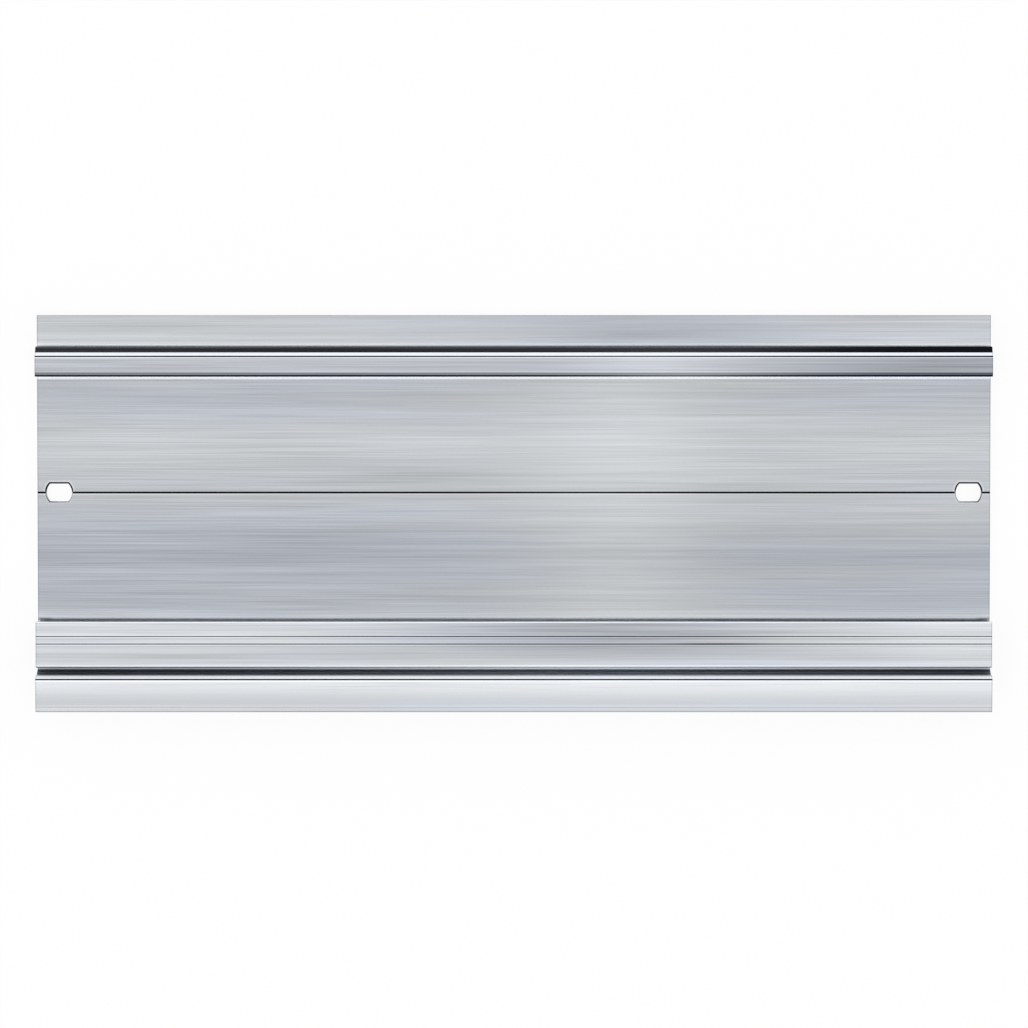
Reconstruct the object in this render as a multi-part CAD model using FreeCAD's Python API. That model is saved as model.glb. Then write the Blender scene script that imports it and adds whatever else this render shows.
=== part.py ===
import FreeCAD, Part
import math
import os

# Extruded aluminium mounting rail for the modules of a programmable controller, lying on
# its back. X runs along the rail, Y across it with the hook lip towards +Y, and Z is the
# depth in front of the flat back. Sizes are in millimetres. In the section, a height is
# measured up from the rail's lower edge and a depth forward from its back.

# Whole rail
rail_length = 374.0
rail_height = 155.0
wall = 2.5                      # web, legs and the walls between the hollows
edge_round = 0.3                # what the extrusion die leaves on free edges
inner_round = 1.0               # fillets in inner corners

# Hook lip for the modules, open towards the rail's top edge
hook_underside = 131.1          # height of the leg's lower face
hook_leg = 2.6                  # thickness of the leg that carries the lip
hook_gap = 6.2                  # clear depth between the web and the back of the lip
hook_lip = 4.1                  # thickness of the lip
hook_reach = 11.7               # from the leg's lower face up to the tip
hook_corner_round = 0.9         # lower corner of the lip
hook_fillet = 1.5               # below the leg, where it meets the web
tip_flat = 0.4                  # depth of the flat left at the very tip
tip_bevel_drop = 2.3            # long bevel in front of the tip, as height and depth
tip_bevel_depth = 1.8
tip_chamfer_drop = 1.4          # height of the steeper chamfer down to the lip's front

# Section for clip-on devices along the lower edge, 35 mm wide over its two lips
device_rail_height = 35.3       # the standard allows 35 plus or minus 0.3
lip_overhang = 4.0              # how far each lip stands past its leg
lip_thickness = 2.3
upper_lip_round = 0.5
face_depth = 13.7               # front of the upper lip and of the plate below it
face_plate = 2.5
nose_height = 12.9              # upper edge of the nose's face
nose_depth = 16.0               # the rail's overall depth, at that edge
nose_lean = 0.45                # how far the nose's face leans back towards its lower edge
nose_bevel_height = 1.9
nose_bevel_depth = 0.4
nose_chamfer_height = 1.3       # steep chamfer from the nose's face up to the screw groove
nose_chamfer_depth = 2.1

# Groove for the modules' fixing screws: parallel walls, then a lower wall that rises
screw_groove_width = 3.0
screw_groove_taper = 10.2       # depth at which the lower wall starts to rise
screw_groove_floor = 5.4        # depth of the floor
screw_groove_floor_width = 1.2
screw_groove_round = 1.1        # edge of the plate above the groove

# Fine V grooves along the rail: a drilling guide on the web and two lines on the plate
drill_groove_height = 85.4
drill_groove_width = 0.6
drill_groove_cut = 0.4
line_heights = (29.55, 26.6)
line_width = 0.45
line_cut = 0.2

# Fixing slots, one at each end on the drilling guide: a round hole with two flats
slot_length = 10.0
slot_width = 7.0
slot_end_distance = 8.5         # from the rail's end to the slot's centre
slot_edge_break = 0.4


def rounded_outline(corners):
    """Closed outline in the plane X = 0 from (height, depth, radius) corners.

    A corner with a radius becomes an arc tangent to the two sides that meet there."""
    points = [FreeCAD.Vector(0, height - rail_height / 2, depth) for height, depth, _ in corners]
    stretches = []
    for index, (_, _, radius) in enumerate(corners):
        corner = points[index]
        if radius == 0:
            stretches.append((corner, None, corner))
            continue
        back = (points[index - 1] - corner).normalize()
        ahead = (points[(index + 1) % len(points)] - corner).normalize()
        half_angle = back.getAngle(ahead) / 2
        reach = radius / math.tan(half_angle)
        inwards = (back + ahead).normalize() * (radius / math.sin(half_angle) - radius)
        stretches.append((corner + back * reach, corner + inwards, corner + ahead * reach))
    edges = []
    for index, (start, middle, end) in enumerate(stretches):
        edges.append(Part.LineSegment(stretches[index - 1][2], start).toShape())
        if middle:
            edges.append(Part.Arc(start, middle, end).toShape())
    return Part.Wire(edges)


def along_rail(outline):
    """A solid of the outline's shape over the rail's whole length."""
    solid = Part.Face(outline).extrude(FreeCAD.Vector(rail_length, 0, 0))
    return solid.translated(FreeCAD.Vector(-rail_length / 2, 0, 0))


def hook_corners():
    """Front of the rail from the hook's inner corner, round the lip, to the web below it."""
    lip_back = wall + hook_gap
    lip_front = lip_back + hook_lip
    tip = hook_underside + hook_reach
    bevel_end = tip - tip_bevel_drop
    return [
        (hook_underside + hook_leg, wall, inner_round),
        (hook_underside + hook_leg, lip_back, inner_round),
        (tip, lip_back, edge_round / 2),
        (tip, lip_back + tip_flat, edge_round / 2),
        (bevel_end, lip_back + tip_flat + tip_bevel_depth, edge_round),
        (bevel_end - tip_chamfer_drop, lip_front, edge_round),
        (hook_underside, lip_front, hook_corner_round),
        (hook_underside, wall, hook_fillet),
    ]


def device_lip_corners():
    """Front of the rail from the web, out along the upper leg and round the upper lip."""
    lip_back = face_depth - lip_thickness
    return [
        (upper_leg, wall, inner_round),
        (upper_leg, lip_back, edge_round),
        (device_rail_height, lip_back, edge_round),
        (device_rail_height, face_depth, upper_lip_round),
    ]


def screw_groove_corners():
    """The screw groove, from the plate's lower edge in to the floor and out to the nose."""
    return [
        (groove_top, face_depth, screw_groove_round),
        (groove_top, screw_groove_floor, edge_round),
        (groove_top - screw_groove_floor_width, screw_groove_floor, edge_round),
        (groove_bottom, screw_groove_taper, edge_round),
        (groove_bottom, nose_depth - nose_chamfer_depth, edge_round),
    ]


def nose_corners():
    """The nose's leaning face, its lower bevel and the lower lip behind it."""
    face_foot = nose_depth - nose_lean
    lip_front = face_foot - nose_bevel_depth
    lip_back = lip_front - lip_thickness
    return [
        (nose_height, nose_depth, edge_round),
        (nose_bevel_height, face_foot, edge_round),
        (0, lip_front, edge_round),
        (0, lip_back, edge_round),
        (lip_overhang, lip_back, edge_round),
    ]


def back_corners():
    """The flat back, from the lower leg up to the rail's top edge."""
    return [
        (lip_overhang, 0, edge_round),
        (rail_height, 0, edge_round),
        (rail_height, wall, edge_round),
    ]


def hollow(bottom, top, front):
    """Outline of a hollow in front of the back wall, between two heights."""
    return rounded_outline([
        (bottom, wall, inner_round),
        (top, wall, inner_round),
        (top, front, inner_round),
        (bottom, front, inner_round),
    ])


def v_groove(height, surface, width, cut):
    """Cutter for a V groove along the rail, of this width and cut at a surface's depth."""
    return along_rail(rounded_outline([
        (height - width, surface + cut, 0),
        (height + width, surface + cut, 0),
        (height, surface - cut, 0),
    ]))


def slot_outline(growth, depth):
    """Outline of a slot at a depth: the round hole's two arcs between its two flats."""
    radius = slot_length / 2 + growth
    flat = slot_width / 2 + growth
    reach = math.sqrt(radius ** 2 - flat ** 2)
    lower_left, lower_right, upper_right, upper_left = [
        FreeCAD.Vector(x, y, depth)
        for x, y in ((-reach, -flat), (reach, -flat), (reach, flat), (-reach, flat))
    ]
    right = FreeCAD.Vector(radius, 0, depth)
    left = FreeCAD.Vector(-radius, 0, depth)
    return Part.Wire([
        Part.LineSegment(lower_left, lower_right).toShape(),
        Part.Arc(lower_right, right, upper_right).toShape(),
        Part.LineSegment(upper_right, upper_left).toShape(),
        Part.Arc(upper_left, left, lower_left).toShape(),
    ])


def fixing_slot(centre_x):
    """Cutter for one slot through the web, with the broken edge on its front."""
    through = Part.Face(slot_outline(0, -wall)).extrude(FreeCAD.Vector(0, 0, 3 * wall))
    edge_foot = slot_outline(0, wall - slot_edge_break)
    edge_top = slot_outline(2 * slot_edge_break, wall + slot_edge_break)
    flare = Part.makeLoft([edge_foot, edge_top], True)
    centre = FreeCAD.Vector(centre_x, drill_groove_height - rail_height / 2, 0)
    return through.fuse(flare).translated(centre)


# Heights that the corners above share: the screw groove's two walls and the upper leg
groove_bottom = nose_height + nose_chamfer_height
groove_top = groove_bottom + screw_groove_width
upper_leg = device_rail_height - lip_overhang
section = rounded_outline(
    back_corners() + hook_corners() + device_lip_corners() + screw_groove_corners() + nose_corners()
)

# What is cut from the section's full length: two closed hollows, the V grooves, the slots
cutters = [
    along_rail(hollow(groove_top + wall, upper_leg - wall, face_depth - face_plate)),
    along_rail(hollow(lip_overhang + wall, groove_bottom - wall, nose_depth - nose_lean - wall)),
]
cutters.append(v_groove(drill_groove_height, wall, drill_groove_width, drill_groove_cut))
cutters += [v_groove(height, face_depth, line_width, line_cut) for height in line_heights]
cutters += [fixing_slot(side * (rail_length / 2 - slot_end_distance)) for side in (-1, 1)]

rail = along_rail(section)
for cutter in cutters:
    rail = rail.cut(cutter)

os.makedirs("parts", exist_ok=True)
rail.Solids[0].exportStep("parts/mounting_rail.step")
box = rail.BoundBox
print("mounting_rail:", len(rail.Solids), "solid, valid", rail.isValid(), "volume", round(rail.Volume))
print("size", round(box.XLength, 2), round(box.YLength, 2), round(box.ZLength, 2))
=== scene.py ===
import math

import bpy
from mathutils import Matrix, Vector


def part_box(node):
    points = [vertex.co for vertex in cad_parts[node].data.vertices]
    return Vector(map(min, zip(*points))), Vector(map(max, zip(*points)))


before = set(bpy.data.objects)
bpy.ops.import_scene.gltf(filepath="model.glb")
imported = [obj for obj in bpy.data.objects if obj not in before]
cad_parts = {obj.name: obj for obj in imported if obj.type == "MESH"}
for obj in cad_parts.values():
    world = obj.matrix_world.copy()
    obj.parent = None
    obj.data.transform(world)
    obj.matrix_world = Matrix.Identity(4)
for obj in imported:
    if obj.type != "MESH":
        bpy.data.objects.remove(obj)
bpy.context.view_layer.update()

# Camera. The rail lies on its back, so the camera hangs two metres above it, a little past
# the hook lip's edge, and looks back at the rail's middle through a long lens.
CAMERA_DISTANCE = 2.0175
CAMERA_TILT = math.radians(2.69)
CAMERA_AIM = Vector((0.00007, -0.00065, 0.0))
LENS = 179.7                # focal length, in millimetres like the sensor's width
SENSOR_WIDTH = 36.0

camera_data = bpy.data.cameras.new("long_lens")
camera_data.sensor_width = SENSOR_WIDTH
camera_data.lens = LENS
camera_data.clip_end = 20.0
camera = bpy.data.objects.new("camera", camera_data)
line_of_sight = Vector((0.0, math.sin(CAMERA_TILT), math.cos(CAMERA_TILT)))
camera.location = CAMERA_AIM + CAMERA_DISTANCE * line_of_sight
camera.rotation_euler = (-CAMERA_TILT, 0.0, 0.0)
bpy.context.scene.collection.objects.link(camera)
bpy.context.scene.camera = camera
bpy.context.scene.view_settings.view_transform = "Standard"


# Bench. A wide flat sheet of matt white paper under the rail. It glows a little wherever it is
# seen or mirrored, so it stays as white as the photo's background next to the pale metal.
BENCH_REACH = 6.0
BENCH_GAP = 0.0001          # below the rail's back, so that the two faces don't meet
BENCH_SHADOW = 0.1          # share of the sheet that takes the rail's shadow
BENCH_WHITE = (0.9, 0.9, 0.9, 1)


class Signal:
    """A value that varies over a surface: one output of one node in a node tree.

    Python's operators between signals, or a signal and a number, add Math nodes."""

    def __init__(self, tree, socket=None):
        self.tree = tree
        self.socket = socket

    def node(self, kind, settings=None, inputs=None, output=0):
        """Adds a node: first its settings, then the values or links of its sockets."""
        node = self.tree.nodes.new("ShaderNode" + kind)
        for name, value in (settings or {}).items():
            setattr(node, name, value)
        for name, value in (inputs or {}).items():
            if isinstance(value, Signal):
                self.tree.links.new(value.socket, node.inputs[name])
            else:
                node.inputs[name].default_value = value
        return Signal(self.tree, node.outputs[output] if node.outputs else None)

    def math(self, operation, *others):
        """One Math node on this signal and up to two more."""
        values = dict(enumerate((self,) + others))
        return self.node("Math", {"operation": operation}, values)

    def __add__(self, other):
        return self.math("ADD", other)

    __radd__ = __add__

    def __sub__(self, other):
        return self.math("SUBTRACT", other)

    def __rsub__(self, other):
        return self.math("MULTIPLY_ADD", -1.0, other)

    def __mul__(self, other):
        return self.math("MULTIPLY", other)

    __rmul__ = __mul__

    def __truediv__(self, other):
        return self.math("DIVIDE", other)

    def __pow__(self, other):
        return self.math("POWER", other)

    def __abs__(self):
        return self.math("ABSOLUTE")

    def rise(self, start, end):
        """0 up to start, 1 from end on, and a smooth rise between the two."""
        settings = {"interpolation_type": "SMOOTHSTEP"}
        values = {"Value": self, "From Min": start, "From Max": end}
        return self.node("MapRange", settings, values)

    def swell(self, centre, reach):
        """1 at the centre, fading to both sides as exp(-d * d), with d the distance / reach."""
        distance = (self - centre) / reach
        return (distance * distance * -1.0).math("EXPONENT")


bench_mesh = bpy.data.meshes.new("bench")
corner_signs = ((-1, -1), (1, -1), (1, 1), (-1, 1))
bench_corners = [(x * BENCH_REACH, y * BENCH_REACH, -BENCH_GAP) for x, y in corner_signs]
bench_mesh.from_pydata(bench_corners, [], [(0, 1, 2, 3)])
bench = bpy.data.objects.new("bench", bench_mesh)
bpy.context.scene.collection.objects.link(bench)
paper = bpy.data.materials.new("white_sheet")
paper.use_nodes = True
paper.node_tree.nodes.clear()
sheet = Signal(paper.node_tree)
seen = sheet.node("LightPath", output="Is Camera Ray")
mirrored = sheet.node("LightPath", output="Is Glossy Ray")
through = sheet.node("LightPath", output="Is Transmission Ray")
glow = sheet.node("Emission", inputs={"Color": (1, 1, 1, 1), "Strength": 1.0})
matt = sheet.node("BsdfDiffuse", inputs={"Color": BENCH_WHITE})
bright = seen.math("MAXIMUM", mirrored).math("MAXIMUM", through) * (1 - BENCH_SHADOW)
front = sheet.node("MixShader", inputs={0: bright, 1: matt, 2: glow})
clear = sheet.node("BsdfTransparent")
behind = sheet.node("NewGeometry", output="Backfacing")
both = sheet.node("MixShader", inputs={0: behind, 1: front, 2: clear})
sheet.node("OutputMaterial", inputs={"Surface": both})
bench_mesh.materials.append(paper)


# Studio light. An even white room, with a dim strip low down on the hook lip's side, which
# the steep bevel at the lip's tip mirrors, and one wide soft lamp over the lower left.
ROOM_DIM = 0.05             # light of the dim strip
STRIP_LOW = (0.02, 0.07)    # its soft lower edge, in the upward part of a unit vector
STRIP_HIGH = (0.42, 0.62)   # its soft upper edge, in the same part
STRIP_NORTH = (0.2, 0.6)    # its soft ends, in the part that points to the hook lip's side
LAMP_DIRECTION = Vector((-0.45, -0.6, 0.66)).normalized()
LAMP_DISTANCE = 3.0
LAMP_SIZE = 1.6
LAMP_POWER = 8.0

room = bpy.data.worlds.new("studio")
bpy.context.scene.world = room
room.use_nodes = True
room.node_tree.nodes.clear()
sky = Signal(room.node_tree)
direction = sky.node("TexCoord", output="Generated")
north = sky.node("SeparateXYZ", inputs={0: direction}, output="Y")
up = sky.node("SeparateXYZ", inputs={0: direction}, output="Z")
strip = up.rise(*STRIP_LOW) * (1 - up.rise(*STRIP_HIGH)) * north.rise(*STRIP_NORTH)
mirror_ray = sky.node("LightPath", output="Is Glossy Ray")
strength = 1 - strip * mirror_ray * (1 - ROOM_DIM)
background = sky.node("Background", inputs={"Color": (1, 1, 1, 1), "Strength": strength})
sky.node("OutputWorld", inputs={"Surface": background})

lamp_data = bpy.data.lights.new("soft_lamp", "AREA")
lamp_data.size = LAMP_SIZE
lamp_data.energy = LAMP_POWER
lamp = bpy.data.objects.new("soft_lamp", lamp_data)
lamp.location = LAMP_DIRECTION * LAMP_DISTANCE
lamp.rotation_euler = LAMP_DIRECTION.to_track_quat("Z", "Y").to_euler()
bpy.context.scene.collection.objects.link(lamp)


# Mounting rail. One length of extruded aluminium, etched and clear anodised. The die draws
# fine lines along it, and each face gets its own painted sheen. The slots are punched, the ends sawn.
MILLIMETRE = 1000.0
SLOT_ALONG = 178.5          # from the middle of the rail to a slot's centre
SLOT_ROUND = 5.0            # from a slot's centre to its round ends
SLOT_FLAT = 3.5             # from a slot's centre to its flats
GUIDE = 85.4                # height of the drilling guide, which runs through both slots
FACE_LINES = (29.55, 26.6)  # heights of the two V lines on the clip-on section's face
FAINT_LINES = (33.5, 31.9)
BEVEL_FOOT = 140.45         # height of the foot of the bevel at the tip of the hook's lip
WHITE_FOOT = 139.27         # height of the foot of the painted white highlight below that bevel
DARK_FOOT = 138.72          # height of the foot of the painted dark line below the white one
LIP_SHADE_STRIP = 35.4            # height of the strip behind the clip-on section's lip: its tone is a painted sheen and painted shade, and it is smoother
FACE_FOOT = 17.75           # height where the clip-on section's face rounds into the groove
SAW_HEIGHT = 40.0           # centre of the saw blade that cut the ends
SAW_DEPTH = -150.0
WHITE = 255                 # tones run from 0, black, to this one
HIDDEN_BACK = 196           # tone of the plain back
BLACK = 5                   # darkest tone in use
TONE_POWER = 2.2
COOL = (0.95, 1.0, 1.105, 1)    # tints of the metal: bluish, nearly plain, and a painted bluish reflection for dark tones
PLAIN = (0.965, 1.0, 1.035, 1)
DARK_REFLECTION_TINT = (0.84, 1.0, 1.33, 1)

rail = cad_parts["mounting_rail"]
rail_low, rail_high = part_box("mounting_rail")


def over(under, tone, share):
    """The tone laid over another one, by its share."""
    return under + (tone - under) * share


def drawn_aluminium(name):
    """The rail's metal. Tones are greys from 0, black, to 255, white, and their 2.2 power
    is what the metal reflects. Most tones below are painted light and shade: sheens,
    highlights, shadow lines and dark reflections, set by place on the rail. Heights are
    above the lower edge, in millimetres."""
    material = bpy.data.materials.new(name)
    material.use_nodes = True
    material.node_tree.nodes.clear()
    metal = Signal(material.node_tree)
    place = metal.node("TexCoord", output="Object")
    along = metal.node("SeparateXYZ", inputs={0: place}, output="X") * MILLIMETRE
    height = (metal.node("SeparateXYZ", inputs={0: place}, output="Y") - rail_low.y) * MILLIMETRE
    depth = metal.node("SeparateXYZ", inputs={0: place}, output="Z") * MILLIMETRE
    to_end = rail_high.x * MILLIMETRE - abs(along)

    def grain(pitch_along, pitch_across, detail):
        """Noise about 0.5, drawn out along the rail. Its grains have this size in millimetres."""
        scale = (MILLIMETRE / pitch_along, MILLIMETRE / pitch_across, MILLIMETRE / pitch_across)
        stretched = metal.node("Mapping", inputs={"Vector": place, "Scale": scale})
        return metal.node("TexNoise", inputs={"Vector": stretched, "Scale": 1.0, "Detail": detail})

    def line(centre, half_width, value=height):
        """1 within half a width of the centre, with soft sides."""
        return 1 - abs(value - centre).rise(half_width * 0.6, half_width * 1.4)

    def between(low, high, soft=0.06, value=height):
        """1 from low to high, with sides this soft."""
        return value.rise(low - soft, low + soft) * (1 - value.rise(high - soft, high + soft))

    # Regions of the section by height and depth: everything but the back, then the web, the
    # hook's lip, the clip-on section's face, the screw groove and the nose
    front = depth.rise(0.5, 1.0)
    web = front * (1 - depth.rise(3.4, 4.4))
    hook = height.rise(130.9, 131.0) * depth.rise(6.0, 6.4)
    face = between(16.0, 36.0) * depth.rise(12.1, 12.4)
    groove = between(13.9, 17.5) * between(4.5, 12.2, 0.2, depth)
    nose = (1 - height.rise(13.03, 13.09)) * depth.rise(13.9, 14.1)

    # The web, with painted light and shade: dullest a third of the way up, brightest below the hook,
    # painted brighter just above the clip-on section's lip, with a painted soft sheen and a few painted
    # darker patches
    tone = 191 + 10 * height.swell(104, 12) - 5 * height.swell(123, 5) + 22 * height.swell(37, 2.4)
    tone = tone - 8 * (1 - height.rise(65, 78)) - 8 * height.swell(60, 3.2) - 4 * height.swell(70.5, 2)
    tone = tone + 13 * along.swell(41, 36) + 8 * along.swell(170, 50) * height.swell(80, 6)
    tone = tone - 9 * height.swell(91, 3.5) * along.swell(-47, 40)
    tone = tone - 8 * height.swell(67, 6) * along.swell(-75, 45)

    # The flange above the hook, with a painted highlight and a painted shadow line beside the tip of the
    # hook's lip
    flange = 199 - 15 * along.swell(60, 60) + 10 * height.swell(145.5, 2.5) + 44 * height.swell(143.2, 0.9)
    flange = flange - 12 * height.swell(147.2, 1.5) * along.swell(50, 35)
    flange = over(flange, 165 - 50 * along.swell(60, 60), between(142.5, 143.06))
    tone = over(tone, flange, height.rise(133, 134))
    tone = over(HIDDEN_BACK, tone, front)

    # The drilling guide, painted dark as shade in its groove, with a painted highlight below it,
    # and a painted sheen on the strip behind the clip-on section's lip, with painted shade in its
    # last few millimetres at each end
    guide = line(GUIDE, 0.4) * front * (1 - depth.rise(2.45, 2.55))
    tone = over(tone, 10 + 90 * along.swell(25, 40), guide)
    tone = tone + 24 * line(GUIDE - 0.6, 0.22) * web
    strip_sheen = 58 - 40 * along.rise(110, 165)
    tone = tone + strip_sheen * between(LIP_SHADE_STRIP - 1.4, LIP_SHADE_STRIP - 0.05, 0.15) * web
    tone = tone * (1 - 0.22 * line(LIP_SHADE_STRIP, 0.8) * web * (1 - to_end.rise(3, 7)))

    # The lip of the hook, in painted light and shade: its bevelled tip mirrors the room's dim strip
    # and is painted dark as well, with a painted white highlight and a painted dark line below it,
    # then a painted dark lower corner, and a painted shadow seam where its leg meets the web.
    # Both are painted paler where a painted sheen falls, and the lip darker towards one end.
    # Painted shade towards one end of the rail, and a painted sheen where the soft glow falls
    shade = along.rise(70, 165)
    lit = along.swell(62, 38)
    lip = 189 + 18 * along.swell(55, 30) - 23 * shade + 4 * height.swell(137.5, 1.5)
    lip = over(lip, 111 + 26 * along.swell(60, 45) - 50 * shade, height.rise(BEVEL_FOOT, BEVEL_FOOT + 0.15))
    lip = lip + 50 * (1 - shade) * height.rise(142.0, 142.3)
    lip = over(lip, 40 - 20 * shade + 55 * along.swell(30, 60), between(DARK_FOOT, WHITE_FOOT))
    lip = over(lip, WHITE - 30 * shade, between(DARK_FOOT - 0.3, DARK_FOOT))
    lip = lip + 12 * between(132.8, 133.2)
    corner = depth.rise(11.95, 12.1)
    lip = over(lip, 130 + 22 * lit - 28 * shade, corner * (1 - height.rise(132.68, 132.78)))
    lip = over(lip, 100 * lit, corner * (1 - height.rise(131.68, 131.76)))
    tone = over(tone, lip, hook)
    tone = over(tone, 30 + 90 * lit, between(130.9, 131.6) * web)

    # The face of the clip-on section, with a painted reflection darker in its middle, and its two
    # V lines painted dark as shade, each with a painted highlight on both sides. The lower line is
    # painted darker for a stretch. A painted highlight runs where the face rounds into the groove.
    middle = along.swell(35, 75)
    broad = along.swell(30, 110)
    plate = 217 - 38 * middle * height.rise(18, 26) - 13 * height.swell(21.5, 3) + 7 * along.rise(130, 170)
    plate = plate - 14 * height.swell(21.3, 0.7) * along.swell(-128, 26)
    for line_height in FACE_LINES:
        plate = over(plate, 166 - 55 * middle, line(line_height, 0.18))
        plate = plate + 14 * line(line_height - 0.5, 0.18) - 20 * line(line_height - 0.92, 0.22)
        plate = plate + 12 * line(line_height + 0.42, 0.15)
    for faint_height in FAINT_LINES:
        plate = plate - 6 * middle * line(faint_height, 0.5)
    plate = over(plate, 40, line(FACE_LINES[1], 0.26) * along.swell(79, 14))
    plate = over(plate, 220 + 26 * broad, between(FACE_FOOT, FACE_FOOT + 0.65, 0.15))
    plate = over(plate, 180 + 75 * broad, 1 - height.rise(FACE_FOOT - 0.15, FACE_FOOT))
    tone = over(tone, plate, face)

    # The screw groove, painted dark deep inside and light towards its mouth as shade and light fall,
    # and the nose below it, painted lighter towards its top: a painted dark edge line, a painted white
    # highlight, and a bevel at the bottom painted darker
    inside = 222 - 122 * depth.rise(5.5, 5.9) + 70 * depth.rise(7.2, 8.2) - 40 * depth.rise(8.7, 9.0)
    inside = inside + 100 * depth.rise(9.6, 10.0)
    tone = over(tone, inside * (0.87 + 0.25 * broad), groove)
    tip = 204 + 28 * height.rise(3, 12) + 5 * along.rise(-100, 40)
    tip = over(tip, WHITE, height.rise(11.7, 12.0))
    tip = over(tip, 4 + 26 * middle, height.rise(12.53, 12.59))
    tip = tip + 8 * between(2.1, 2.9) - 12 * line(1.9, 0.2) + 4 * line(1.1, 0.2)
    tip = tip - 36 * (1 - height.rise(0.45, 0.55))
    tone = over(tone, tip, nose)

    # Painted highlights: edges painted matt white all along, below the hook, at its tip, above the
    # clip-on section's face, and from the screw groove's lower wall out to the nose
    bright = between(129.95, 131.1) * (1 - height.rise(130.81, 130.88) * (1 - lit)) * web
    bright = bright + between(WHITE_FOOT, BEVEL_FOOT) * hook
    bright = bright + height.rise(34.85, 34.95) * (1 - height.rise(35.22, 35.28) * (1 - broad)) * face
    bright = bright + between(13.07, 14.3, 0.04) * depth.rise(10.4, 13.2)
    tone = over(tone, WHITE - 34 * between(13.9, 14.4), bright)

    # The slots' broken edges, painted by how light falls on them: painted shade on the upper side,
    # painted light on the lower one, with a matt ring where the punch bent the web. A thin band along
    # the rail's ends is a little darker; the sawn end faces are pale and keep their saw marks.
    slot_along = abs(along) - SLOT_ALONG
    slot_up = height - GUIDE
    radius = (slot_along * slot_along + slot_up * slot_up).math("SQRT")
    outside = (abs(slot_up) - SLOT_FLAT).math("MAXIMUM", radius - SLOT_ROUND)
    upper = slot_up.rise(-0.6, 1.6) * depth.rise(1.95, 2.1)
    inner = 1 - (slot_along + 0.7 * slot_up).rise(-2.5, 1.5)
    tone = tone + 16 * line(0.95, 0.3, outside) * upper
    rim = 1 - outside.rise(0.32 + 0.23 * upper, 0.42 + 0.23 * upper)
    tone = over(tone, 150 - 148 * upper + 90 * inner * (1 - upper), rim)
    flare = between(0.0, 0.85, 0.08, outside) * between(2.0, 2.6, 0.1, depth) * (1 - rim)
    tone = tone * (0.86 + 0.14 * to_end.rise(0.25, 0.45))
    blade_up = height - SAW_HEIGHT
    blade_out = depth - SAW_DEPTH
    reach = (blade_up * blade_up + blade_out * blade_out).math("SQRT")
    marks = metal.node("TexNoise", {"noise_dimensions": "1D"}, {"W": reach, "Scale": 1.6, "Detail": 2})
    sawn = 1 - to_end.rise(0.02, 0.05)
    tone = over(tone, 204 + 60 * (marks - 0.5), sawn)

    # Lines that the die draws: fine streaks, soft bands and a few dark hairlines
    streaks = grain(150, 1.4, 2)
    threads = grain(60, 0.42, 1)
    bands = grain(300, 7, 1)
    fine = 32 + 22 * (1 - along.swell(30, 85)) * (1 - face) + 30 * face * height.rise(26, 31)
    drawn = (streaks - 0.5) * 30 + (threads - 0.5) * fine + (bands - 0.5) * 14
    drawn = drawn * (1 - 0.9 * nose) - 14 * (threads * bands).rise(0.33, 0.42)
    tone = tone + drawn * (1 - sawn)

    # Tone and tint together give the colour: a cool grey, bluer in some places, and bluer still in
    # the painted dark tones, as a painted bluish reflection
    reflectance = (tone.math("MAXIMUM", BLACK).math("MINIMUM", WHITE) / WHITE) ** TONE_POWER
    plainness = grain(110, 9, 2) + 0.3 * along.swell(45, 45) * between(36.5, 131.5)
    plainness = plainness + 0.2 * (1 - height.rise(36, 37)) + 0.22 * height.swell(97, 17)
    plainness = plainness - 0.15 * height.swell(58, 15) - 0.25 * middle * face
    plainness = plainness + (0.3 - 0.5 * along.swell(55, 80)) * height.rise(142.8, 143.0)
    plainness = plainness - 0.2 * along.rise(90, 150) * hook
    plainness = plainness + (0.5 * height.rise(4, 9) - 0.1) * nose
    tint = metal.node("Mix", {"data_type": "RGBA"}, {0: plainness.rise(0.3, 0.8), 6: COOL, 7: PLAIN}, 2)
    dark_tint = {0: tone.rise(40, 150) * (1 - 0.12 * groove), 6: DARK_REFLECTION_TINT, 7: tint}
    tint = metal.node("Mix", {"data_type": "RGBA"}, dark_tint, 2)
    colour = metal.node("VectorMath", {"operation": "SCALE"}, {0: tint, "Scale": reflectance})
    burnished = line(LIP_SHADE_STRIP, 1.7) * web * (1 - 0.25 * middle)
    roughness = 0.27 + (streaks - 0.5) * 0.2 - 0.17 * burnished + 0.15 * sawn
    relief = metal.node("Bump", inputs={"Strength": 0.3, "Distance": 0.00001, "Height": streaks})
    surface = metal.node("BsdfPrincipled", inputs={
        "Base Color": colour,
        "Metallic": (1 - bright) * (1 - flare) * (1 - 0.5 * groove),
        "Roughness": roughness,
        "Normal": relief,
    })
    metal.node("OutputMaterial", inputs={"Surface": surface})
    return material


rail.data.materials.clear()
rail.data.materials.append(drawn_aluminium("drawn_aluminium"))
